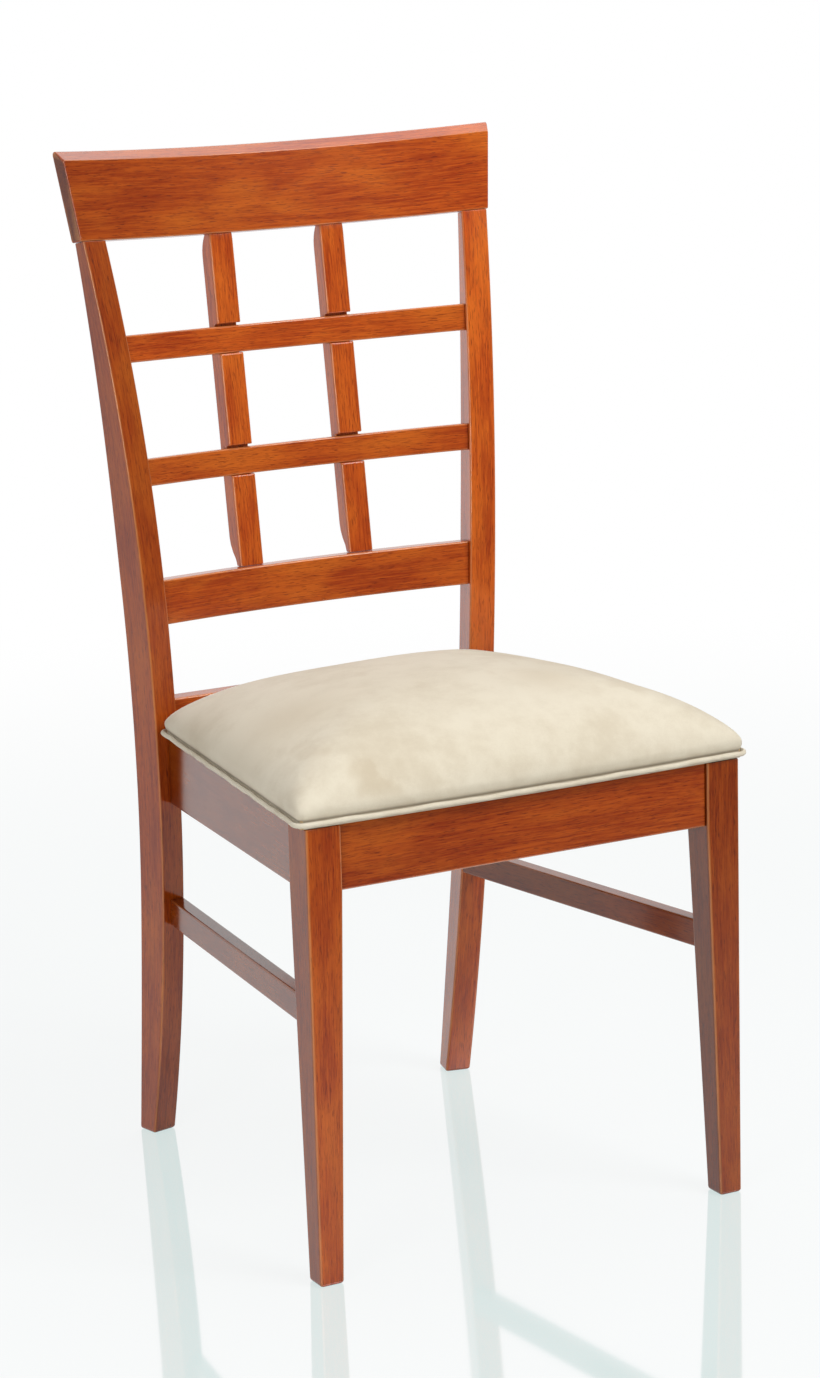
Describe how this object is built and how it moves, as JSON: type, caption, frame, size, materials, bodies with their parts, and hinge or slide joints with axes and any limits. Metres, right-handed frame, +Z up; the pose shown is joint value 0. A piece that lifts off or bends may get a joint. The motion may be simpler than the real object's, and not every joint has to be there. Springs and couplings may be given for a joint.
{
  "type": "dining chair",
  "caption": "Wooden side chair for a dining table, with a curved lattice back, square tapered legs, side stretchers and a piped upholstered seat pad.",
  "frame": {"origin": "centre of the chair's plan, on the surface that its feet stand on", "axes": "+Z up, -Y towards the front of the seat, +X to the right of someone who looks at the chair from the front"},
  "size_m": [0.4686, 0.5072, 0.9698],
  "materials": {
    "stained_wood": "orange-brown stain under a glossy lacquer",
    "plain_wood": "planed, unfinished",
    "plywood": "sanded, unfinished",
    "microsuede": "short matt nap",
    "foam": "open-cell foam",
    "dust_cloth": "thin bonded cloth",
    "zinc_steel": "zinc plated"
  },
  "bodies": {
    "root": {"rear_post_left": "stained_wood", "rear_post_right": "stained_wood", "front_leg_left": "stained_wood", "front_leg_right": "stained_wood", "top_rail": "stained_wood", "lattice_rail_upper": "stained_wood", "lattice_rail_middle": "stained_wood", "lower_back_rail": "stained_wood", "slat_left": "stained_wood", "slat_right": "stained_wood", "front_apron": "stained_wood", "rear_apron": "stained_wood", "side_apron_left": "stained_wood", "side_apron_right": "stained_wood", "side_stretcher_left": "stained_wood", "side_stretcher_right": "stained_wood", "seat_cover": "microsuede", "seat_welt": "microsuede", "seat_foam": "foam", "seat_board": "plywood", "dust_cover": "dust_cloth", "corner_block_front_left": "plain_wood", "corner_block_front_right": "plain_wood", "corner_block_rear_left": "plain_wood", "corner_block_rear_right": "plain_wood", "block_screw_front_cross_left": "zinc_steel", "block_screw_front_cross_right": "zinc_steel", "block_screw_front_side_left": "zinc_steel", "block_screw_front_side_right": "zinc_steel", "block_screw_rear_cross_left": "zinc_steel", "block_screw_rear_cross_right": "zinc_steel", "block_screw_rear_side_left": "zinc_steel", "block_screw_rear_side_right": "zinc_steel", "seat_screw_front_left": "zinc_steel", "seat_screw_front_right": "zinc_steel", "seat_screw_rear_left": "zinc_steel", "seat_screw_rear_right": "zinc_steel", "dowel_front_low_left": "plain_wood", "dowel_front_low_right": "plain_wood", "dowel_front_high_left": "plain_wood", "dowel_front_high_right": "plain_wood", "dowel_rear_low_left": "plain_wood", "dowel_rear_low_right": "plain_wood", "dowel_rear_high_left": "plain_wood", "dowel_rear_high_right": "plain_wood", "dowel_side_front_low_left": "plain_wood", "dowel_side_front_low_right": "plain_wood", "dowel_side_front_high_left": "plain_wood", "dowel_side_front_high_right": "plain_wood", "dowel_side_rear_low_left": "plain_wood", "dowel_side_rear_low_right": "plain_wood", "dowel_side_rear_high_left": "plain_wood", "dowel_side_rear_high_right": "plain_wood"}
  },
  "joints": []
}
